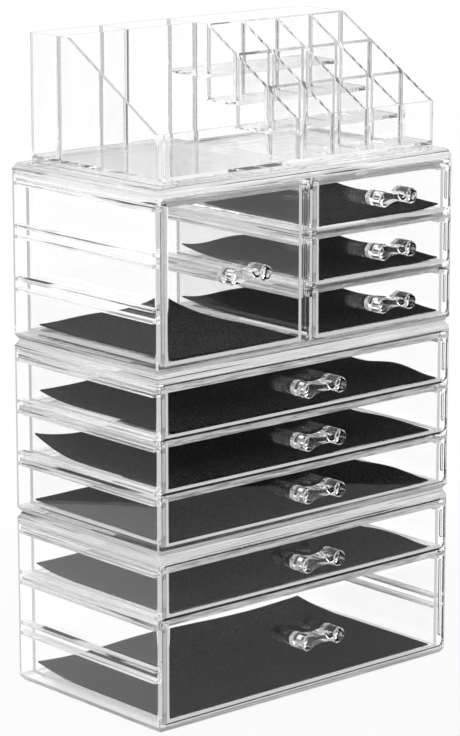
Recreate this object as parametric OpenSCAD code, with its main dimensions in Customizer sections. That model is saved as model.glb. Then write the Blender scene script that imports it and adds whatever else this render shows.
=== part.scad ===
// Clear stacking organiser: three drawer casings, nine drawers and a compartment tray.
// Millimetres, +Z up, fronts face -Y, origin at the centre of the base footprint.

/* [Casings] */
// outer width of a casing
body_w = 240.4; // [210:0.2:270]
// outer depth of a casing
body_d = 138; // [120:1:165]
// height of one casing, plateau to plateau
unit_h = 109.4; // [102:0.2:125]
// thickness of the side and back walls
casing_wall = 2; // [1.6:0.1:2.4]
// thickness of the floor and of the top plate
casing_plate = 2.8; // [2.4:0.1:3.4]
// radius of the outer upright edges
casing_r = 2.4; // [1.6:0.1:3]
// how far the sloped edges come in at top and bottom
edge_in = 2.75; // [2:0.05:3]
// height of the sloped edge around the top
top_edge_h = 5.1; // [4:0.1:6]
// height of the sloped edge around the bottom
bottom_edge_h = 3.9; // [3.3:0.1:4.2]
// height of the locating ridge on each plateau
ridge_h = 1; // [0.8:0.1:1.2]
// width of the locating ridge
ridge_w = 3; // [2:0.1:4]

/* [Drawers] */
// gap between neighbouring fronts and around the opening
front_gap = 0.85; // [0.6:0.05:1.1]
// gap at the two ends of a front
end_gap = 0.4; // [0.3:0.05:0.6]
// thickness of a front panel
front_t = 3; // [2.4:0.1:3.6]
// corner radius of a front panel
front_r = 3.5; // [2:0.1:4.5]
// thickness of the side and back walls of a drawer
drawer_wall = 2; // [1.6:0.1:2.4]
// thickness of the floor of a drawer
drawer_floor = 1.8; // [1.4:0.1:2.2]
// radius of the outer upright corners of a drawer
drawer_r = 1.2; // [0.8:0.1:2]
// width of the slot behind each end of a front
end_slot_w = 2.4; // [1.6:0.1:3]
// depth of that slot
end_slot_d = 1.6; // [0.8:0.1:2]
// distance from that slot to the top and bottom of the front
end_slot_z = 7; // [6:0.5:10]
// gap between a closed drawer box and the casing's back wall
back_gap = 4.5; // [4:0.1:8]
// how far the rim stands below the top of the front panel
rim_drop = 2.4; // [1.8:0.1:3]
// thickness of the rim that runs on the rails
rim_t = 2.2; // [1.8:0.1:2.6]

/* [Rails] */
// how far a rail stands out of its wall
rail_out = 4.6; // [3.8:0.1:5.4]
// thickness of a rail
rail_t = 2.2; // [1.6:0.1:2.6]
// running clearance around the rim and the drawer box
run_gap = 0.4; // [0.3:0.05:0.5]
// height between a rim and the hold-down rail above it
tip_gap = 1.9; // [1.5:0.1:2.3]
// distance from the front face to the start of the rails
rail_start = 6; // [5:0.5:12]
// thickness of the upright divider in the upper casing
divider_t = 2; // [1.6:0.1:3]

/* [Handles] */
// diameter of the round ends
knob_d = 9.8; // [8:0.1:12]
// distance between the round ends on a wide drawer
knob_gap_wide = 25.4; // [22:0.2:34]
// distance between the round ends on a half-width drawer
knob_gap_half = 22.4; // [20:0.2:28]
// how far a handle stands out
handle_out = 14; // [11:0.5:18]
// height of the waist between the round ends
waist_h = 4; // [3:0.1:5]
// rounding of the outer rim of the round ends
knob_edge = 1.2; // [0.8:0.1:1.6]
// rounding where the round ends meet the panel
knob_root = 2; // [1:0.1:2.4]
// diameter of the two fixing pegs
peg_d = 4.6; // [3.6:0.1:5]

/* [Tray] */
// outer width of the tray
tray_w = 223.4; // [200:0.2:225]
// outer depth of the tray
tray_d = 124; // [112:0.5:126]
// height of the tray at the back
tray_h = 78.5; // [70:0.5:95]
// height of the tray at the front
tray_front_h = 30; // [27:0.5:36]
// thickness of the walls
tray_wall = 2.2; // [1.8:0.1:2.6]
// outer radius of the upright corners
tray_r = 4.8; // [3.5:0.1:7]
// radius of the upright corners of the compartments
cell_r = 2.2; // [1:0.1:3]
// height of the floor surface above the foot of the tray
tray_floor_z = 4.6; // [4:0.1:6]
// rise from one stepped floor to the next
tray_step = 14.3; // [11:0.1:15]
// left to right position of the main divider
split_x = -2.4; // [-15:0.2:12]
// front to back position of the tall wall behind the slots
slot_back_y = 22.8; // [21:0.2:27]
// front to back size of the two front slot rows
slot_d = 28.4; // [25:0.1:28.6]
// front to back position of the wall in front of the rear pockets
rear_wall_y = 33.6; // [28:0.2:40]

/* [Liners] */
// thickness of a liner
liner_t = 1; // [0.6:0.1:1.4]
// gap between a liner and the drawer walls
liner_gap = 1.2; // [1:0.1:2.5]
// lift of the back edge of a liner that lies nearly flat
flat_curl = 2.4; // [0:0.1:4]
// lift of the back edge of a liner that curls
liner_curl = 4.5; // [0:0.1:6]
// lift of the back left corner of a liner that curls
corner_curl = 2.4; // [0:0.1:4]
// lift of a back left corner that is folded up
corner_fold = 6.4; // [0:0.1:8]
// lift of the wave along the right edge
liner_wave = 2.2; // [0:0.1:3]

/* [Hidden] */
front_y = -body_d / 2;
inner_x = body_w / 2 - casing_wall;
inner_y = body_d / 2 - casing_wall;
// number of casings, and rows of drawers in each
units = 3;
rows = 3;
// each casing rests on the ridge below it, with a little air between the plateaus
stack_air = 0.15;
case_h = unit_h - stack_air;
groove_h = ridge_h - stack_air;
lip = 0.2;
sill_z = bottom_edge_h + lip;
head_lip = 0.65;
head_z = case_h - top_edge_h - head_lip;
panel_h = (head_z - sill_z - (rows + 1) * front_gap) / rows;
pitch = panel_h + front_gap;
rim_z = panel_h - rim_drop - rim_t;
box_x = inner_x - rail_out - run_gap;
box_y = inner_y - back_gap;
box_inner_y = box_y - drawer_wall;
panel_back = front_y + front_t;
divider_x = divider_t / 2;
half_mid = (inner_x + divider_x) / 2;
overlap = 0.5;
peg_gap = 0.1;
inner_r = 0.6;
waist_sink = 0.2;
ridge_gap = 0.4;
ridge_x = tray_w / 2 - tray_wall - ridge_gap;
ridge_y = tray_d / 2 - tray_wall - ridge_gap;
tray_z = units * unit_h - stack_air;
tray_x = tray_w / 2;
tray_y = tray_d / 2;
tray_in = tray_wall / 2;
columns = 4;
slope_end_y = -tray_y + tray_r;
// middles of the tray's right and back walls, and of its walls across from front to back
right_x = tray_x - tray_in;
back_y = tray_y - tray_in;
step_y = [-back_y, slot_d - back_y, 2 * slot_d - back_y, slot_back_y, back_y];
last_step = len(step_y) - 2;
column = (right_x - split_x) / columns;
pocket_x = (split_x - right_x) / 2;
// inner side of the box of a half-width drawer
half_x = divider_x + rail_out + run_gap;
// liner surface: cells across and from front to back, and where each lift starts,
// as a share of the way from the middle to the edge
liner_cells = [12, 10];
curl_from = 0.35;
corner_from = [0.5, 0.1];
wave_from = 0.55;
// share of the curl that sways along the back edge, and its turn and start in degrees
curl_sway = 0.25;
sway_turn = 250;
sway_start = 40;
// turn in degrees of the wave from the middle to the end of the right edge
wave_turn = 160;
clear = [0.92, 0.94, 0.95, 0.4];
white = [0.95, 0.96, 0.97, 0.5];
black = [0.15, 0.15, 0.16];
$fn = 64;

// height of a front over a number of rows, and of its lower edge
function front_h(span) = span * panel_h + (span - 1) * front_gap;
function front_z(unit, row) = unit * unit_h + sill_z + front_gap + row * pitch;

// height of a stepped floor of the tray
function step_z(k) = tray_floor_z + k * tray_step;

// flat rectangle with round corners, centred
module rounded(w, d, r) {
    square([w - 2 * r, d], center = true);
    square([w, d - 2 * r], center = true);
    for (x = [-1, 1], y = [-1, 1])
        translate([x * (w / 2 - r), y * (d / 2 - r)]) circle(r = r);
}

// outline of a block whose lower and upper edges slope in
module edged_outline(w, h, lo, hi) {
    polygon([[-w / 2 + edge_in, 0], [w / 2 - edge_in, 0], [w / 2, lo], [w / 2, h - hi],
             [w / 2 - edge_in, h], [-w / 2 + edge_in, h], [-w / 2, h - hi], [-w / 2, lo]]);
}

// block with sloped edges all round at the bottom and the top
module edged_block(w, d, h, lo, hi) {
    intersection() {
        translate([0, d / 2, 0]) rotate([90, 0, 0])
            linear_extrude(height = d) edged_outline(w, h, lo, hi);
        translate([-w / 2, 0, 0]) rotate([90, 0, 90])
            linear_extrude(height = w) edged_outline(d, h, lo, hi);
    }
}

// closed loop that locates the piece above
module ridge_ring(grow, h) {
    linear_extrude(height = h) difference() {
        rounded(2 * (ridge_x + grow), 2 * (ridge_y + grow), tray_r - tray_wall + grow);
        rounded(2 * (ridge_x - ridge_w - grow), 2 * (ridge_y - ridge_w - grow), tray_r - tray_wall);
    }
}

// rail along a wall: x is the wall face, side is the way it stands out
module rail(x, side, z) {
    translate([side > 0 ? x - overlap : x - rail_out, front_y + rail_start, z])
        cube([rail_out + overlap, body_d - rail_start - casing_wall + overlap, rail_t]);
}

// carrying rail and hold-down rail for every row
module rail_set(x, side) {
    for (k = [0 : rows - 1])
        rail(x, side, sill_z + front_gap + k * pitch + rim_z - run_gap - rail_t);
    for (k = [0 : rows - 2])
        rail(x, side, sill_z + front_gap + k * pitch + rim_z + rim_t + tip_gap);
}

module casing_shell() {
    difference() {
        intersection() {
            edged_block(body_w, body_d, case_h, bottom_edge_h, top_edge_h);
            linear_extrude(height = case_h) rounded(body_w, body_d, casing_r);
        }
        translate([0, 0, casing_plate])
            edged_block(2 * inner_x, 2 * inner_y, case_h - 2 * casing_plate, lip, top_edge_h);
        translate([0, panel_back, (sill_z + head_z) / 2]) rotate([90, 0, 0])
            linear_extrude(height = 2 * front_t)
                rounded(2 * inner_x, head_z - sill_z, front_r + end_gap);
        ridge_ring(ridge_gap, groove_h);
    }
    translate([0, 0, case_h - overlap]) ridge_ring(0, ridge_h + overlap);
}

module casing() {
    casing_shell();
    rail_set(-inner_x, 1);
    rail_set(inner_x, -1);
}

module divider() {
    translate([-divider_x, front_y, casing_plate - overlap])
        cube([divider_t, body_d - casing_wall + overlap, case_h - 2 * casing_plate + 2 * overlap]);
    rail_set(divider_x, 1);
    rail_set(-divider_x, -1);
}

module lower_casing() { color(clear) casing(); }

module middle_casing() { color(clear) translate([0, 0, unit_h]) casing(); }

module upper_casing() {
    color(clear) translate([0, 0, 2 * unit_h]) {
        casing();
        intersection() {
            divider();
            edged_block(body_w, body_d, case_h, bottom_edge_h, top_edge_h);
        }
    }
}

// upright slot with round ends, centred
module slot(w, h) {
    square([w, h - w], center = true);
    for (s = [-1, 1]) translate([0, s * (h - w) / 2]) circle(d = w, $fn = 24);
}

// drawer with its box between x0 and x1, its front and its rim overhanging by out
module drawer(unit, row, span, x0, x1, gap) {
    out = rail_out + run_gap - end_gap;
    h = front_h(span);
    mid = (x0 + x1) / 2;
    w = x1 - x0;
    in_w = w - 2 * drawer_wall;
    deep = box_inner_y - panel_back;
    rim_bottom = h - rim_drop - rim_t;
    rim_y = inner_y - end_gap;
    lip_d = h - rim_bottom;
    translate([mid, 0, front_z(unit, row)]) {
        // sloped lip behind the upper edge of the front
        translate([-w / 2, panel_back, rim_bottom]) rotate([90, 0, 90])
            linear_extrude(height = w)
                polygon([[-overlap, 0], [0, 0], [lip_d, lip_d], [-overlap, lip_d]]);
        difference() {
            union() {
                // front panel
                translate([0, panel_back, h / 2]) rotate([90, 0, 0])
                    linear_extrude(height = front_t) rounded(w + 2 * out, h, front_r);
                // box
                translate([0, (panel_back - overlap + box_y) / 2, 0])
                    linear_extrude(height = rim_bottom + rim_t) union() {
                        rounded(w, box_y - panel_back + overlap, drawer_r);
                        translate([-w / 2, -(box_y - panel_back + overlap) / 2])
                            square([w, deep / 2]);
                    }
                // rim along both sides and the back
                translate([0, (panel_back - overlap + rim_y) / 2, rim_bottom])
                    linear_extrude(height = rim_t) union() {
                        rounded(w + 2 * out, rim_y - panel_back + overlap, drawer_r);
                        translate([-w / 2 - out, -(rim_y - panel_back + overlap) / 2])
                            square([w + 2 * out, deep / 2]);
                    }
            }
            // inside
            translate([0, (panel_back + box_inner_y) / 2, drawer_floor])
                linear_extrude(height = h) rounded(in_w, deep, inner_r);
            // slots behind the ends of the front
            for (s = [-1, 1]) translate([s * (w + out) / 2, panel_back + overlap, h / 2])
                rotate([90, 0, 0]) linear_extrude(height = end_slot_d + overlap)
                    slot(end_slot_w, h - 2 * end_slot_z);
            // holes for the handle's pegs
            for (s = [-1, 1]) translate([s * gap / 2, panel_back + overlap, h / 2])
                rotate([90, 0, 0])
                    cylinder(d = peg_d + 2 * peg_gap, h = front_t + 2 * overlap);
        }
    }
}

module wide_drawer(unit, row, span) {
    color(clear) drawer(unit, row, span, -box_x, box_x, knob_gap_wide);
}

module right_drawer(row) { color(clear) drawer(2, row, 1, half_x, box_x, knob_gap_half); }

module upper_tall_drawer() { color(clear) drawer(2, 0, rows, -box_x, -half_x, knob_gap_half); }

module upper_top_drawer() { right_drawer(2); }
module upper_mid_drawer() { right_drawer(1); }
module upper_low_drawer() { right_drawer(0); }
module middle_top_drawer() { wide_drawer(1, 2, 1); }
module middle_mid_drawer() { wide_drawer(1, 1, 1); }
module middle_low_drawer() { wide_drawer(1, 0, 1); }
module lower_top_drawer() { wide_drawer(0, 2, 1); }
module lower_deep_drawer() { wide_drawer(0, 0, 2); }

// round end of a handle, standing on its root along +Z
module knob() {
    r = knob_d / 2;
    rotate_extrude() union() {
        square([r - knob_root, handle_out]);
        translate([0, knob_root]) square([r, handle_out - knob_root - knob_edge]);
        square([r - knob_edge, handle_out]);
        intersection() {
            translate([r - knob_root, knob_root]) circle(r = knob_root);
            square([r, knob_root]);
        }
        translate([r - knob_edge, handle_out - knob_edge]) circle(r = knob_edge);
    }
}

// waisted bar between the round ends, its hollows running into them
module waist(gap) {
    r = knob_d / 2 - waist_sink;
    cut_r = (gap * gap / 4 + waist_h * waist_h / 4 - r * r) / (2 * r - waist_h);
    difference() {
        square([gap, 2 * (r - waist_sink)], center = true);
        for (s = [-1, 1]) translate([0, s * (waist_h / 2 + cut_r)]) circle(r = cut_r);
    }
}

// handle on the middle of a front
module handle(unit, row, span, mid, gap) {
    color(white) translate([mid, front_y, front_z(unit, row) + front_h(span) / 2])
        rotate([90, 0, 0]) {
            for (s = [-1, 1]) translate([s * gap / 2, 0, 0]) {
                knob();
                translate([0, 0, -front_t]) cylinder(d = peg_d, h = front_t + overlap);
            }
            translate([0, 0, knob_root])
                linear_extrude(height = handle_out - knob_root - knob_edge / 2) waist(gap);
        }
}

module upper_tall_handle() { handle(2, 0, rows, -half_mid, knob_gap_half); }
module upper_top_handle() { handle(2, 2, 1, half_mid, knob_gap_half); }
module upper_mid_handle() { handle(2, 1, 1, half_mid, knob_gap_half); }
module upper_low_handle() { handle(2, 0, 1, half_mid, knob_gap_half); }
module middle_top_handle() { handle(1, 2, 1, 0, knob_gap_wide); }
module middle_mid_handle() { handle(1, 1, 1, 0, knob_gap_wide); }
module middle_low_handle() { handle(1, 0, 1, 0, knob_gap_wide); }
module lower_top_handle() { handle(0, 2, 1, 0, knob_gap_wide); }
module lower_deep_handle() { handle(0, 0, 2, 0, knob_gap_wide); }

// rise that starts at a share of the way to an edge and grows towards it
function rise(s, from) = pow(max(0, (s - from) / (1 - from)), 2);

// lift of a liner's surface: u and v run from -1 to 1 across and from front to back
function lift(u, v, curl, corner) =
    curl * rise(v, curl_from) * (1 - curl_sway + curl_sway * cos(sway_turn * u + sway_start))
    + corner * rise(v, corner_from.y) * rise(-u, corner_from.x)
    + liner_wave * rise(u, wave_from) * pow(sin(wave_turn * (v + 1)), 2);

// felt sheet laid on a drawer's floor, its back edge curling up
module liner(unit, row, x0, x1, curl, corner) {
    nu = liner_cells.x;
    nv = liner_cells.y;
    w = x1 - x0 - 2 * (drawer_wall + liner_gap);
    d = box_inner_y - panel_back - 2 * liner_gap;
    row_n = nu + 1;
    top_n = row_n * (nv + 1);
    points = [for (t = [0, liner_t], j = [0 : nv], i = [0 : nu])
        [(i / nu - 0.5) * w, (j / nv - 0.5) * d,
         t + lift(2 * i / nu - 1, 2 * j / nv - 1, curl, corner)]];
    top = [for (j = [0 : nv - 1], i = [0 : nu - 1]) let (a = top_n + j * row_n + i)
        each [[a, a + row_n, a + row_n + 1], [a, a + row_n + 1, a + 1]]];
    bottom = [for (j = [0 : nv - 1], i = [0 : nu - 1]) let (a = j * row_n + i)
        each [[a, a + row_n + 1, a + row_n], [a, a + 1, a + row_n + 1]]];
    loop = concat([for (i = [0 : nu - 1]) i], [for (j = [0 : nv - 1]) j * row_n + nu],
        [for (i = [nu : -1 : 1]) nv * row_n + i], [for (j = [nv : -1 : 1]) j * row_n]);
    sides = [for (k = [0 : len(loop) - 1]) let (a = loop[k], b = loop[(k + 1) % len(loop)])
        each [[a, a + top_n, b + top_n], [a, b + top_n, b]]];
    color(black)
        translate([(x0 + x1) / 2, (panel_back + box_inner_y) / 2, front_z(unit, row) + drawer_floor])
            polyhedron(points = points, faces = concat(top, bottom, sides));
}

module wide_liner(unit, row, curl, corner) { liner(unit, row, -box_x, box_x, curl, corner); }

module right_liner(row, curl, corner) { liner(2, row, half_x, box_x, curl, corner); }

module upper_tall_liner() { liner(2, 0, -box_x, -half_x, flat_curl, 0); }
module upper_top_liner() { right_liner(2, liner_curl, corner_curl); }
module upper_mid_liner() { right_liner(1, liner_curl, corner_curl); }
module upper_low_liner() { right_liner(0, flat_curl, corner_curl); }
module middle_top_liner() { wide_liner(1, 2, liner_curl, corner_curl); }
module middle_mid_liner() { wide_liner(1, 1, liner_curl, corner_fold); }
module middle_low_liner() { wide_liner(1, 0, liner_curl, 0); }
module lower_top_liner() { wide_liner(0, 2, liner_curl, 0); }
module lower_deep_liner() { wide_liner(0, 0, liner_curl, corner_curl); }

// side view of the tray: level at the back, then sloping down to the low front
module tray_side(grow) {
    polygon([[-tray_y - grow, -grow], [tray_y + grow, -grow], [tray_y + grow, tray_h],
             [slot_back_y, tray_h], [slope_end_y, tray_front_h], [-tray_y - grow, tray_front_h]]);
}

// room between four walls of the tray, given by the middles of the walls, from z0 up to z1
module cell(x0, x1, y0, y1, z0, z1) {
    translate([(x0 + x1) / 2, (y0 + y1) / 2, z0]) linear_extrude(height = z1 - z0)
        rounded(x1 - x0 - tray_wall, y1 - y0 - tray_wall, cell_r);
}

module tray() {
    top = tray_h + overlap;
    color(clear) translate([0, 0, tray_z]) difference() {
        intersection() {
            linear_extrude(height = tray_h) rounded(tray_w, tray_d, tray_r);
            translate([-tray_w, 0, 0]) rotate([90, 0, 90])
                linear_extrude(height = 2 * tray_w) tray_side(overlap);
        }
        // under the floors
        cell(-right_x, right_x, -back_y, back_y, -overlap, tray_floor_z - tray_wall);
        for (k = [1 : last_step])
            cell(split_x, right_x, step_y[k], back_y, 0, step_z(k) - tray_wall);
        // bin and rear pockets of the left half
        cell(-right_x, split_x, -back_y, rear_wall_y, tray_floor_z, top);
        cell(-right_x, pocket_x, rear_wall_y, back_y, tray_floor_z, top);
        cell(pocket_x, split_x, rear_wall_y, back_y, tray_floor_z, top);
        // slots and rear well of the right half
        for (k = [0 : last_step - 1], c = [0 : columns - 1])
            cell(split_x + c * column, split_x + (c + 1) * column,
                step_y[k], step_y[k + 1], step_z(k), top);
        cell(split_x, right_x, slot_back_y, back_y, step_z(last_step), top);
    }
}

lower_casing();
middle_casing();
upper_casing();
tray();
lower_deep_drawer();
lower_top_drawer();
middle_low_drawer();
middle_mid_drawer();
middle_top_drawer();
upper_tall_drawer();
upper_low_drawer();
upper_mid_drawer();
upper_top_drawer();
lower_deep_handle();
lower_top_handle();
middle_low_handle();
middle_mid_handle();
middle_top_handle();
upper_tall_handle();
upper_low_handle();
upper_mid_handle();
upper_top_handle();
lower_deep_liner();
lower_top_liner();
middle_low_liner();
middle_mid_liner();
middle_top_liner();
upper_tall_liner();
upper_low_liner();
upper_mid_liner();
upper_top_liner();
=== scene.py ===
"""Looks of the clear stacking organiser: camera, studio, clear plastic and black felt liners."""

import math
from typing import NamedTuple

import bpy
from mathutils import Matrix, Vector, noise


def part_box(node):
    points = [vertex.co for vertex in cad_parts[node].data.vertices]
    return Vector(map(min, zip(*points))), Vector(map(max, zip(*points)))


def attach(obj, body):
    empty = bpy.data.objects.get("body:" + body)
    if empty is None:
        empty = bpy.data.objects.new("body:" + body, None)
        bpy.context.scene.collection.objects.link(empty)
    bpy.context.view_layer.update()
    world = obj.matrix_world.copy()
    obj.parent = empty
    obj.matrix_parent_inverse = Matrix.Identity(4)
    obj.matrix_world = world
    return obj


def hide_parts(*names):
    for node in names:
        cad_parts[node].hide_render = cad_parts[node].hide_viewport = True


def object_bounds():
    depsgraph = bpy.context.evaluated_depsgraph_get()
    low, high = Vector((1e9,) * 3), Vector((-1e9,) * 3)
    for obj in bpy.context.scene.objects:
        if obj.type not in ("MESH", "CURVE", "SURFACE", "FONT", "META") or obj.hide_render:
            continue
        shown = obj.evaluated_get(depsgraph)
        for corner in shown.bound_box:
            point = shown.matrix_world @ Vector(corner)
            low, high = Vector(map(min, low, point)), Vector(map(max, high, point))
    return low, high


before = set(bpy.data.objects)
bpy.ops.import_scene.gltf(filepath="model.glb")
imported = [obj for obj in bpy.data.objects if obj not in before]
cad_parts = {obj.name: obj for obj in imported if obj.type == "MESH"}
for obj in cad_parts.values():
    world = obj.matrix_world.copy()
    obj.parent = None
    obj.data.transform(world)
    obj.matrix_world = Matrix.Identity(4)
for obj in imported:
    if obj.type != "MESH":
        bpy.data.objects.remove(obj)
cad_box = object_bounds()
scene = bpy.context.scene
MM = 0.001

# ---------------------------------------------------------------- camera
CAMERA_AT = (-1.244465, -1.414079, 0.623637)
CAMERA_TURN = math.radians(41.256)
CAMERA_DROP = math.radians(12.847)
FOCAL_PX = 3103.2455
IMAGE_H = 736
SENSOR = 36


def add_camera():
    """Camera at the photograph's viewpoint."""
    data = bpy.data.cameras.new("camera")
    data.sensor_width = SENSOR
    data.lens = FOCAL_PX * SENSOR / IMAGE_H
    data.clip_start, data.clip_end = 0.05, 50
    cam = bpy.data.objects.new("camera", data)
    cam.location = CAMERA_AT
    ahead = Vector((
        math.sin(CAMERA_TURN) * math.cos(CAMERA_DROP),
        math.cos(CAMERA_TURN) * math.cos(CAMERA_DROP),
        -math.sin(CAMERA_DROP),
    ))
    cam.rotation_mode = "QUATERNION"
    cam.rotation_quaternion = ahead.to_track_quat("-Z", "Y")
    scene.collection.objects.link(cam)
    scene.camera = cam


# ---------------------------------------------------------------- node helpers
def new_tree(name):
    """A material with an empty node tree."""
    mat = bpy.data.materials.new(name)
    mat.use_nodes = True
    mat.node_tree.nodes.clear()
    return mat, mat.node_tree


def add(tree, kind, **values):
    """A node of that kind, with input sockets set by name (underscores for spaces)."""
    node = tree.nodes.new(kind)
    for key, value in values.items():
        node.inputs[key.replace("_", " ")].default_value = value
    return node


def math_node(tree, operation, a, b=None, clamp=False):
    """A Math node whose inputs are numbers or sockets."""
    node = tree.nodes.new("ShaderNodeMath")
    node.operation = operation
    node.use_clamp = clamp
    for socket, value in zip(node.inputs, (a, b)):
        if isinstance(value, bpy.types.NodeSocket):
            tree.links.new(value, socket)
        elif value is not None:
            socket.default_value = value
    return node.outputs[0]


def unreflected(tree):
    """1 for what is seen straight on or through clear walls, 0 once a ray was mirrored or scattered."""
    path = tree.nodes.new("ShaderNodeLightPath")
    bent = math_node(tree, "ADD", path.outputs["Glossy Depth"], path.outputs["Diffuse Depth"])
    return math_node(tree, "SUBTRACT", 1, bent, clamp=True)


def ramp(tree, value, start, end, low, high):
    """Goes smoothly from low to high as value goes from start to end."""
    node = add(tree, "ShaderNodeMapRange", From_Min=start, From_Max=end, To_Min=low, To_Max=high)
    node.interpolation_type = "SMOOTHSTEP"
    tree.links.new(value, node.inputs["Value"])
    return node.outputs["Result"]


def along(tree, direction, axis):
    """How far a direction points along an axis."""
    node = tree.nodes.new("ShaderNodeVectorMath")
    node.operation = "DOT_PRODUCT"
    node.inputs[1].default_value = Vector(axis).normalized()
    tree.links.new(direction, node.inputs[0])
    return node.outputs["Value"]


# ---------------------------------------------------------------- studio
# the directions in which the front faces and the side faces mirror the camera's view
FRONT_MIRROR = (0.64, -0.73, -0.22)
SIDE_MIRROR = (-0.64, 0.73, -0.22)
CAMERA_SIDE = (-0.64, -0.73, 0.22)
# direction, darkness, and the cosines between which it fades in
DARK_PLACES = (
    (FRONT_MIRROR, 0.96, 0.75, 0.95),
    (SIDE_MIRROR, 0.8, 0.75, 0.95),
    (CAMERA_SIDE, 0.8, 0.9, 0.97),
)
# share of the room's light that matt surfaces get
DIFFUSE_SHARE = 0.25
# light that is made up for at each face in between, and the most in all
FACE_LOSS = 0.055
MOST_GAIN = 0.45


def straight_light(tree):
    """White for what is seen straight on, made up for what the faces in between mirror away."""
    path = tree.nodes.new("ShaderNodeLightPath")
    gain = math_node(tree, "MULTIPLY", path.outputs["Transmission Depth"], FACE_LOSS)
    gain = math_node(tree, "ADD", math_node(tree, "MINIMUM", gain, MOST_GAIN), 1)
    return math_node(tree, "MULTIPLY", unreflected(tree), gain)


def add_world():
    """White room with dark places where the flat faces of the plastic mirror it."""
    world = bpy.data.worlds.new("studio")
    world.use_nodes = True
    scene.world = world
    tree = world.node_tree
    tree.nodes.clear()
    direction = tree.nodes.new("ShaderNodeTexCoord").outputs["Generated"]
    room = 1
    for axis, darkness, start, end in DARK_PLACES:
        hole = ramp(tree, along(tree, direction, axis), start, end, 1, 1 - darkness)
        room = math_node(tree, "MULTIPLY", hole, room)
    path = tree.nodes.new("ShaderNodeLightPath")
    scattered = math_node(tree, "MINIMUM", path.outputs["Diffuse Depth"], 1)
    dim = math_node(tree, "SUBTRACT", 1, math_node(tree, "MULTIPLY", scattered, 1 - DIFFUSE_SHARE))
    strength = math_node(tree, "MAXIMUM", math_node(tree, "MULTIPLY", room, dim), straight_light(tree))
    light = add(tree, "ShaderNodeBackground", Color=(1, 1, 1, 1))
    tree.links.new(strength, light.inputs["Strength"])
    out = tree.nodes.new("ShaderNodeOutputWorld")
    tree.links.new(light.outputs[0], out.inputs["Surface"])


FLOOR_R = 0.55
FLOOR_STEPS = 96
FLOOR_GAP = 0.0005
# what the plastic mirrors of the floor: painted shade, its tones from the dark to the pale side, and how
# far each lies from the middle
FLOOR_PALE_SIDE = (-0.66, 0.75, 0)
FLOOR_PAINTED_SHADE = (0.42, 0.8)
FLOOR_SPAN = 0.4
# what the camera sees of it: the share of plain white, and the distances between which it grows
FLOOR_WHITE = (0.93, 1)
FLOOR_FADE = (0.2, 0.5)


def add_floor():
    """Pale floor that stays white to the camera and keeps a faint shadow, with painted shade darker towards
    the front.
    """
    turns = [2 * math.pi * k / FLOOR_STEPS for k in range(FLOOR_STEPS)]
    ring = [(FLOOR_R * math.cos(turn), FLOOR_R * math.sin(turn), 0) for turn in turns]
    mesh = bpy.data.meshes.new("floor")
    mesh.from_pydata(ring, [], [list(range(FLOOR_STEPS))])
    floor = bpy.data.objects.new("floor", mesh)
    floor.location.z = -FLOOR_GAP
    scene.collection.objects.link(floor)
    mat, tree = new_tree("floor")
    matte = add(tree, "ShaderNodeBsdfDiffuse")
    place = tree.nodes.new("ShaderNodeTexCoord").outputs["Object"]
    side = along(tree, place, FLOOR_PALE_SIDE)
    # painted shade: the matt tone that the plastic mirrors grows darker towards the front
    shade = ramp(tree, side, -FLOOR_SPAN, FLOOR_SPAN, *FLOOR_PAINTED_SHADE)
    tone = tree.nodes.new("ShaderNodeCombineColor")
    for socket in tone.inputs[:3]:
        tree.links.new(shade, socket)
    tree.links.new(tone.outputs[0], matte.inputs["Color"])
    glow = add(tree, "ShaderNodeEmission", Color=(1, 1, 1, 1))
    tree.links.new(straight_light(tree), glow.inputs["Strength"])
    mix = tree.nodes.new("ShaderNodeMixShader")
    reach = tree.nodes.new("ShaderNodeVectorMath")
    reach.operation = "LENGTH"
    tree.links.new(place, reach.inputs[0])
    white = ramp(tree, reach.outputs["Value"], *FLOOR_FADE, *FLOOR_WHITE)
    tree.links.new(math_node(tree, "MULTIPLY", unreflected(tree), white), mix.inputs[0])
    tree.links.new(matte.outputs[0], mix.inputs[1])
    tree.links.new(glow.outputs[0], mix.inputs[2])
    out = tree.nodes.new("ShaderNodeOutputMaterial")
    tree.links.new(mix.outputs[0], out.inputs["Surface"])
    mesh.materials.append(mat)


def add_lamp(name, at, size, power):
    """Square soft light aimed at the middle of the object."""
    data = bpy.data.lights.new(name, "AREA")
    data.shape = "SQUARE"
    data.size = size
    data.energy = power
    lamp = bpy.data.objects.new(name, data)
    lamp.location = at
    aim = (cad_box[0] + cad_box[1]) / 2 - Vector(at)
    lamp.rotation_mode = "QUATERNION"
    lamp.rotation_quaternion = aim.to_track_quat("-Z", "Y")
    scene.collection.objects.link(lamp)


def add_lights():
    """Key light from the front left, a weaker one from the front right, and one from above."""
    add_lamp("key", (-1.4, -1.0, 1.7), 0.9, 18)
    add_lamp("fill", (1.6, -1.1, 1.1), 1.0, 9)
    add_lamp("top", (0.0, 0.3, 2.0), 1.2, 16)


# ---------------------------------------------------------------- clear plastic
ACRYLIC_IOR = 1.49
CLEAR_TINT = 0.99
TRAY_TINT = 0.982
FACE_WAVE = 0.02
SHADOW_TINT = (0.94, 0.94, 0.94, 1)
# light that was mirrored inside more often than this comes out as a painted glow in one tone
MOST_MIRRORS = 9
PAINTED_GLOW_TONE = (0.62, 0.63, 0.64, 1)


def within(tree, value, low, high):
    """1 where a value lies between two bounds, else 0."""
    above = math_node(tree, "GREATER_THAN", value, low)
    return math_node(tree, "MULTIPLY", above, math_node(tree, "LESS_THAN", value, high))


def facing(tree, axis, least):
    """1 on the faces square to an axis, from outside and from within."""
    normal = tree.nodes.new("ShaderNodeNewGeometry").outputs["True Normal"]
    turn = math_node(tree, "ABSOLUTE", along(tree, normal, axis))
    return math_node(tree, "GREATER_THAN", turn, least)


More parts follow.
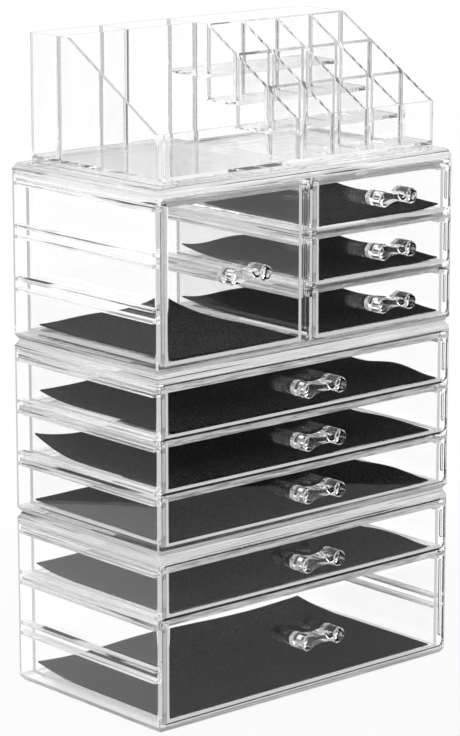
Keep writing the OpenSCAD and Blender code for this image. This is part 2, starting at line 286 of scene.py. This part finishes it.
def streaks(tree, stretch, scale, start, end, low, high):
    """Flecks and streaks, drawn out along the axes where stretch is small."""
    coords = tree.nodes.new("ShaderNodeTexCoord").outputs["Object"]
    drawn = add(tree, "ShaderNodeMapping", Scale=stretch)
    tree.links.new(coords, drawn.inputs["Vector"])
    grain = add(tree, "ShaderNodeTexNoise", Scale=scale, Detail=3, Roughness=0.6)
    tree.links.new(drawn.outputs[0], grain.inputs["Vector"])
    return ramp(tree, grain.outputs[0], start, end, low, high)


def veil(tree, under, colour, share):
    """Lays a matt tone over a shader where share is above 0."""
    tone = add(tree, "ShaderNodeBsdfDiffuse", Color=(colour, colour, colour, 1))
    mix = tree.nodes.new("ShaderNodeMixShader")
    tree.links.new(share, mix.inputs[0])
    tree.links.new(under, mix.inputs[1])
    tree.links.new(tone.outputs[0], mix.inputs[2])
    return mix.outputs[0]


# Where the painted light and shade lie at rest, in metres. Back of the fronts and depth of their slots,
# and how near to a face a point counts as on it
FRONT_BACK_Y = -0.066
SLOT_D = 0.0016
NEAR = 0.0001
FRONT_BACK = (FRONT_BACK_Y - NEAR, FRONT_BACK_Y + NEAR)
SLOT_BACK = (FRONT_BACK_Y - SLOT_D - NEAR, FRONT_BACK_Y - SLOT_D + NEAR)
SLOT_WALL = (FRONT_BACK_Y - SLOT_D + NEAR, FRONT_BACK_Y - NEAR)
# y up to which the top edge of a front has painted shade, and between which rims and rails have painted
# lines
TOP_EDGE_END = FRONT_BACK_Y - 2 * NEAR
BEHIND_FRONT = (-0.0655, 0.0665)
# x of the left ends of the fronts and their slots; the second ones are the upper right drawers'
LEFT_ENDS = ((-0.118, -0.1131), (0.0013, 0.0061))
LEFT_SLOTS = ((-0.1168, -0.1142), (0.0024, 0.0050))
# distance from the middle of the outer and inner rims and rails
OUTER_RIM = (0.1134, 0.12)
INNER_RIM = (0.0013, 0.0059)
OUTER_RAIL = (0.1135, 0.1181)
INNER_RAIL = (0.0012, 0.0058)
# height of a casing in the stack, and between which heights in it the rails lie
CASING_STEP = 0.1094
RAIL_LEVELS = (0.006, 0.1025)
# cosines from which a face counts as square to an axis or as a lip, and those of sloped edges
SQUARE = 0.9
ON_LIP = 0.95
SLOPED = (0.3, 0.95)
# matt tones from 0, black, to 1, and how much each hides of the plastic under it: painted light on the
# left ends and slot backs, painted shade on the slot walls and on the top edges of the fronts
END_LIGHT = (0.7, 0.75)
SLOT_HIGHLIGHT = (0.9, 0.9)
SLOT_WALL_SHADE = (0.01, 0.9)
TOP_EDGE_SHADE = (0.005, 0.95)
# tones of the painted light on the lips and of the painted highlight and dark reflection lines, laid on
# where the flecks and streaks below are
WIDE_LIP, HALF_LIP = 0.95, 0.4
PALE, DARK = 0.98, 0.02
HIGHLIGHT_LINES = {"stretch": (0.01, 0.01, 1), "scale": 900, "start": 0.4, "end": 0.6, "low": 0.4, "high": 0.92}
DARK_REFLECTION_LINES = {"stretch": (0.006, 0.006, 1), "scale": 1100, "start": 0.6, "end": 0.63, "low": 0, "high": 0.9}
LIP_LIGHT_FLECKS = {"stretch": (0.08, 1, 1), "scale": 500, "start": 0.35, "end": 0.6, "low": 0.35, "high": 0.95}


def place_of(tree):
    """Coordinates of the shaded point in the object's frame."""
    place = tree.nodes.new("ShaderNodeSeparateXYZ")
    coords = tree.nodes.new("ShaderNodeTexCoord").outputs["Object"]
    tree.links.new(coords, place.inputs[0])
    return place.outputs


def lined(tree, under, there):
    """Painted highlight lines along a rim, a rail or a sloped edge, with a few painted dark reflection
    lines.
    """
    pale = streaks(tree, **HIGHLIGHT_LINES)
    dark = streaks(tree, **DARK_REFLECTION_LINES)
    under = veil(tree, under, PALE, math_node(tree, "MULTIPLY", there, pale))
    return veil(tree, under, DARK, math_node(tree, "MULTIPLY", there, dark))


def drawer_painted_light(tree, under, wide):
    """Painted light on a drawer: highlight and dark reflection lines on the rim, a pale left end with a
    pale slot back and dark slot walls, and flecks of painted caught light on the lip. Wide drawers have a
    whiter lip and painted shade on the top edge of the front."""
    x, y, _ = place_of(tree)
    upright = facing(tree, (0, 1, 0), SQUARE)
    away = math_node(tree, "ABSOLUTE", x)
    rim = within(tree, away, *OUTER_RIM)
    if not wide:
        rim = math_node(tree, "ADD", rim, within(tree, away, *INNER_RIM))
    # painted highlight and dark reflection lines on the rims
    under = lined(tree, under, math_node(tree, "MULTIPLY", rim, within(tree, y, *BEHIND_FRONT)))
    ends, slots = within(tree, x, *LEFT_ENDS[0]), within(tree, x, *LEFT_SLOTS[0])
    if not wide:
        ends = math_node(tree, "ADD", ends, within(tree, x, *LEFT_ENDS[1]))
        slots = math_node(tree, "ADD", slots, within(tree, x, *LEFT_SLOTS[1]))
    # painted light on the left ends and the slot backs, painted shade on the slot walls
    for (tone, share), area, depth, flat in ((END_LIGHT, ends, FRONT_BACK, True),
                                             (SLOT_HIGHLIGHT, slots, SLOT_BACK, True),
                                             (SLOT_WALL_SHADE, slots, SLOT_WALL, False)):
        turned = upright if flat else math_node(tree, "SUBTRACT", 1, upright)
        there = math_node(tree, "MULTIPLY", within(tree, y, *depth), turned)
        there = math_node(tree, "MULTIPLY", there, area)
        under = veil(tree, under, tone, math_node(tree, "MULTIPLY", there, share))
    # painted light on the lip, standing in for the light it catches inside, broken into flecks
    lip = facing(tree, (0, 1, -1), ON_LIP)
    flecks = streaks(tree, **LIP_LIGHT_FLECKS)
    under = veil(tree, under, WIDE_LIP if wide else HALF_LIP, math_node(tree, "MULTIPLY", lip, flecks))
    # painted shade on the top edge of a wide front, below the gap above it
    if wide:
        tone, share = TOP_EDGE_SHADE
        top = math_node(tree, "MULTIPLY", facing(tree, (0, 0, 1), SQUARE),
                        math_node(tree, "LESS_THAN", y, TOP_EDGE_END))
        under = veil(tree, under, tone, math_node(tree, "MULTIPLY", top, share))
    return under


def casing_painted_light(tree, under):
    """Painted highlight and dark reflection lines in the sloped edges and the rails of a casing."""
    x, y, z = place_of(tree)
    normal = tree.nodes.new("ShaderNodeNewGeometry").outputs["True Normal"]
    slope = math_node(tree, "ABSOLUTE", along(tree, normal, (0, 0, 1)))
    away = math_node(tree, "ABSOLUTE", x)
    rails = math_node(tree, "ADD", within(tree, away, *OUTER_RAIL), within(tree, away, *INNER_RAIL))
    level = math_node(tree, "MODULO", z, CASING_STEP)
    rails = math_node(tree, "MULTIPLY", rails, within(tree, level, *RAIL_LEVELS))
    rails = math_node(tree, "MULTIPLY", rails, within(tree, y, *BEHIND_FRONT))
    # painted highlight and dark reflection lines on the rails and the sloped edges
    return lined(tree, under, math_node(tree, "MAXIMUM", rails, within(tree, slope, *SLOPED)))


def clear_plastic(name, tint=CLEAR_TINT, wave=FACE_WAVE, painted_light=None):
    """Clear moulded plastic: faintly wavy faces that refract, and a painted glow in one pale tone for light
    caught inside.
    """
    mat, tree = new_tree(name)
    body = add(tree, "ShaderNodeBsdfPrincipled", Base_Color=(tint, tint, tint, 1),
               Roughness=0, IOR=ACRYLIC_IOR, Transmission_Weight=1)
    if wave:
        coords = tree.nodes.new("ShaderNodeTexCoord")
        ripple = add(tree, "ShaderNodeTexNoise", Scale=22, Detail=2, Roughness=0.5)
        tree.links.new(coords.outputs["Object"], ripple.inputs["Vector"])
        bump = add(tree, "ShaderNodeBump", Strength=wave, Distance=0.002)
        tree.links.new(ripple.outputs[0], bump.inputs["Height"])
        tree.links.new(bump.outputs[0], body.inputs["Normal"])
    path = tree.nodes.new("ShaderNodeLightPath")
    # painted glow, in one tone, for light mirrored inside more than MOST_MIRRORS times
    caught = add(tree, "ShaderNodeEmission", Color=PAINTED_GLOW_TONE, Strength=1)
    inside = tree.nodes.new("ShaderNodeMixShader")
    tree.links.new(math_node(tree, "GREATER_THAN", path.outputs["Glossy Depth"], MOST_MIRRORS),
                   inside.inputs[0])
    surface = painted_light(tree, body.outputs[0]) if painted_light else body.outputs[0]
    tree.links.new(surface, inside.inputs[1])
    tree.links.new(caught.outputs[0], inside.inputs[2])
    lamp_light = add(tree, "ShaderNodeBsdfTransparent", Color=SHADOW_TINT)
    mix = tree.nodes.new("ShaderNodeMixShader")
    tree.links.new(path.outputs["Is Shadow Ray"], mix.inputs[0])
    tree.links.new(inside.outputs[0], mix.inputs[1])
    tree.links.new(lamp_light.outputs[0], mix.inputs[2])
    out = tree.nodes.new("ShaderNodeOutputMaterial")
    tree.links.new(mix.outputs[0], out.inputs["Surface"])
    return mat


# ---------------------------------------------------------------- felt
def felt():
    """Short black felt: matt, finely speckled, with a faint sheen."""
    mat, tree = new_tree("black_felt")
    body = add(tree, "ShaderNodeBsdfPrincipled", Roughness=0.95, Sheen_Weight=0.01,
               Sheen_Roughness=0.5, Specular_IOR_Level=0.1)
    coords = tree.nodes.new("ShaderNodeTexCoord")
    turned = add(tree, "ShaderNodeMapping", Rotation=(0.7, 0.5, 0.9))
    tree.links.new(coords.outputs["Object"], turned.inputs["Vector"])
    fibres = add(tree, "ShaderNodeTexNoise", Scale=650, Detail=3, Roughness=0.7)
    tree.links.new(turned.outputs[0], fibres.inputs["Vector"])
    tone = tree.nodes.new("ShaderNodeValToRGB")
    tone.color_ramp.elements[0].position = 0.45
    tone.color_ramp.elements[0].color = (0.0, 0.0, 0.0, 1)
    tone.color_ramp.elements[1].position = 0.58
    tone.color_ramp.elements[1].color = (0.036, 0.036, 0.037, 1)
    tree.links.new(fibres.outputs[0], tone.inputs[0])
    tree.links.new(tone.outputs[0], body.inputs["Base Color"])
    bump = add(tree, "ShaderNodeBump", Strength=0.5, Distance=0.0004)
    tree.links.new(fibres.outputs[0], bump.inputs["Height"])
    tree.links.new(bump.outputs[0], body.inputs["Normal"])
    out = tree.nodes.new("ShaderNodeOutputMaterial")
    tree.links.new(body.outputs[0], out.inputs["Surface"])
    return mat


LINER_T = 0.8 * MM
LINER_OFF_FLOOR = 0.1 * MM
CELL = 2.5 * MM
# most height in mm of the ripples all over a liner, and how close they lie across and front to back
RIPPLE = 0.35
RIPPLE_TURN = (3, 2.5)
# where each lift starts, as a share of the way from the middle to the edge
CURL_FROM = 0.35
CORNER_FROM = 0.1
LEFT_FROM = 0.5
RIGHT_FROM = 0.2
SIDE_FROM = 0.5
# the part of the curl that sways along the back edge, and its turn and start in degrees
CURL_SWAY = 0.25
SWAY_TURN = 250
SWAY_START = 40
# turn in degrees of the right edge's waves from the middle to the end, and where they meet
WAVE_TURN = 160
WAVES_MEET = 180 / WAVE_TURN - 1


class Liner(NamedTuple):
    """Lifts of a liner's edges and how far it stops short of its room, in mm.

    left and right are the back corners' lifts over the curl, below 0 where a corner lies lower.
    side lifts the whole right edge, which has a wave in its front part and one in its rear part.
    """

    curl: float
    left: float = 0
    right: float = 0
    side: float = 0
    front_wave: float = 0
    rear_wave: float = 0
    short_left: float = 0
    short_right: float = 0


LINERS = {
    "upper_tall": Liner(curl=2, right=4.5, front_wave=0.5, short_left=5),
    "upper_top": Liner(curl=4.5, left=2.5, side=2, front_wave=1.5, rear_wave=2),
    "upper_mid": Liner(curl=4.5, left=2.5, side=1, front_wave=2, rear_wave=2),
    "upper_low": Liner(curl=2.5, left=2.5, front_wave=2, rear_wave=2),
    "middle_top": Liner(curl=6.5, front_wave=3.5, rear_wave=3, short_left=4.5),
    "middle_mid": Liner(curl=6.5, left=6.5, right=-4, front_wave=1, short_right=5),
    "middle_low": Liner(curl=1.5, front_wave=2, short_right=5),
    "lower_top": Liner(curl=6, right=-4, front_wave=2, short_right=5),
    "lower_deep": Liner(curl=4.5, left=2.5, short_right=3),
}


def rise(s, start):
    """Grows from 0 at start to 1 at the edge, where s is 1."""
    return max(0, (s - start) / (1 - start)) ** 2


def lift(u, v, liner, seed):
    """Height of a liner's surface over the drawer's floor in mm, u and v from -1 to 1."""
    sway = 1 - CURL_SWAY + CURL_SWAY * math.cos(math.radians(SWAY_TURN * u + SWAY_START))
    corners = liner.left * rise(-u, LEFT_FROM) + liner.right * rise(u, RIGHT_FROM)
    wave = liner.front_wave if v < WAVES_MEET else liner.rear_wave
    side = liner.side + wave * math.sin(math.radians(WAVE_TURN * (v + 1))) ** 2
    edges = (liner.curl * sway * rise(v, CURL_FROM) + corners * rise(v, CORNER_FROM)
             + side * rise(u, SIDE_FROM))
    ripple = RIPPLE * max(0, noise.noise(Vector((u * RIPPLE_TURN[0], v * RIPPLE_TURN[1], seed))))
    return max(0, edges) + ripple


def add_liner(name, seed, cloth):
    """Felt sheet on the floor of one drawer."""
    lo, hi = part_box(name + "_liner")
    liner = LINERS[name]
    lo.x += liner.short_left * MM
    hi.x -= liner.short_right * MM
    w, d = hi.x - lo.x, hi.y - lo.y
    nu, nv = round(w / CELL), round(d / CELL)
    points, faces = [], []
    for j in range(nv + 1):
        for i in range(nu + 1):
            u, v = 2 * i / nu - 1, 2 * j / nv - 1
            z = lo.z + LINER_OFF_FLOOR + lift(u, v, liner, seed) * MM
            points.append((lo.x + (i / nu) * w, lo.y + (j / nv) * d, z))
    for j in range(nv):
        for i in range(nu):
            a = j * (nu + 1) + i
            faces.append((a, a + 1, a + nu + 2, a + nu + 1))
    mesh = bpy.data.meshes.new(name + "_felt")
    mesh.from_pydata(points, [], faces)
    mesh.polygons.foreach_set("use_smooth", [True] * len(mesh.polygons))
    mesh.materials.append(cloth)
    piece = bpy.data.objects.new(name + "_felt", mesh)
    scene.collection.objects.link(piece)
    thick = piece.modifiers.new("thickness", "SOLIDIFY")
    thick.thickness = LINER_T
    thick.offset = 1
    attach(piece, name)
    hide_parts(name + "_liner")


# ---------------------------------------------------------------- assembly
def dress(names, mat):
    """Gives CAD nodes a material."""
    for name in names:
        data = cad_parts[name].data
        data.materials.clear()
        data.materials.append(mat)


def main():
    """Sets up the studio, dresses the CAD nodes in clear plastic and lays the felt."""
    add_camera()
    add_world()
    add_floor()
    add_lights()
    scene.view_settings.view_transform = "Standard"
    scene.cycles.max_bounces = 32
    scene.cycles.transmission_bounces = 32
    scene.cycles.glossy_bounces = 16
    scene.cycles.transparent_max_bounces = 64
    dress([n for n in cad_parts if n.endswith("_casing")],
          clear_plastic("casing_plastic", painted_light=casing_painted_light))
    upper = [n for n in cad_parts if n.startswith("upper_") and n.endswith("_drawer")]
    lower = [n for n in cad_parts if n.endswith("_drawer") and n not in upper]
    dress(upper, clear_plastic("upper_drawer_plastic",
                               painted_light=lambda tree, under: drawer_painted_light(tree, under, False)))
    dress(lower, clear_plastic("drawer_plastic",
                               painted_light=lambda tree, under: drawer_painted_light(tree, under, True)))
    dress(["tray"], clear_plastic("tray_plastic", tint=TRAY_TINT))
    dress([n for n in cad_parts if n.endswith("_handle")],
          clear_plastic("handle_plastic", wave=0))
    cloth = felt()
    for seed, name in enumerate(LINERS):
        add_liner(name, seed, cloth)


main()
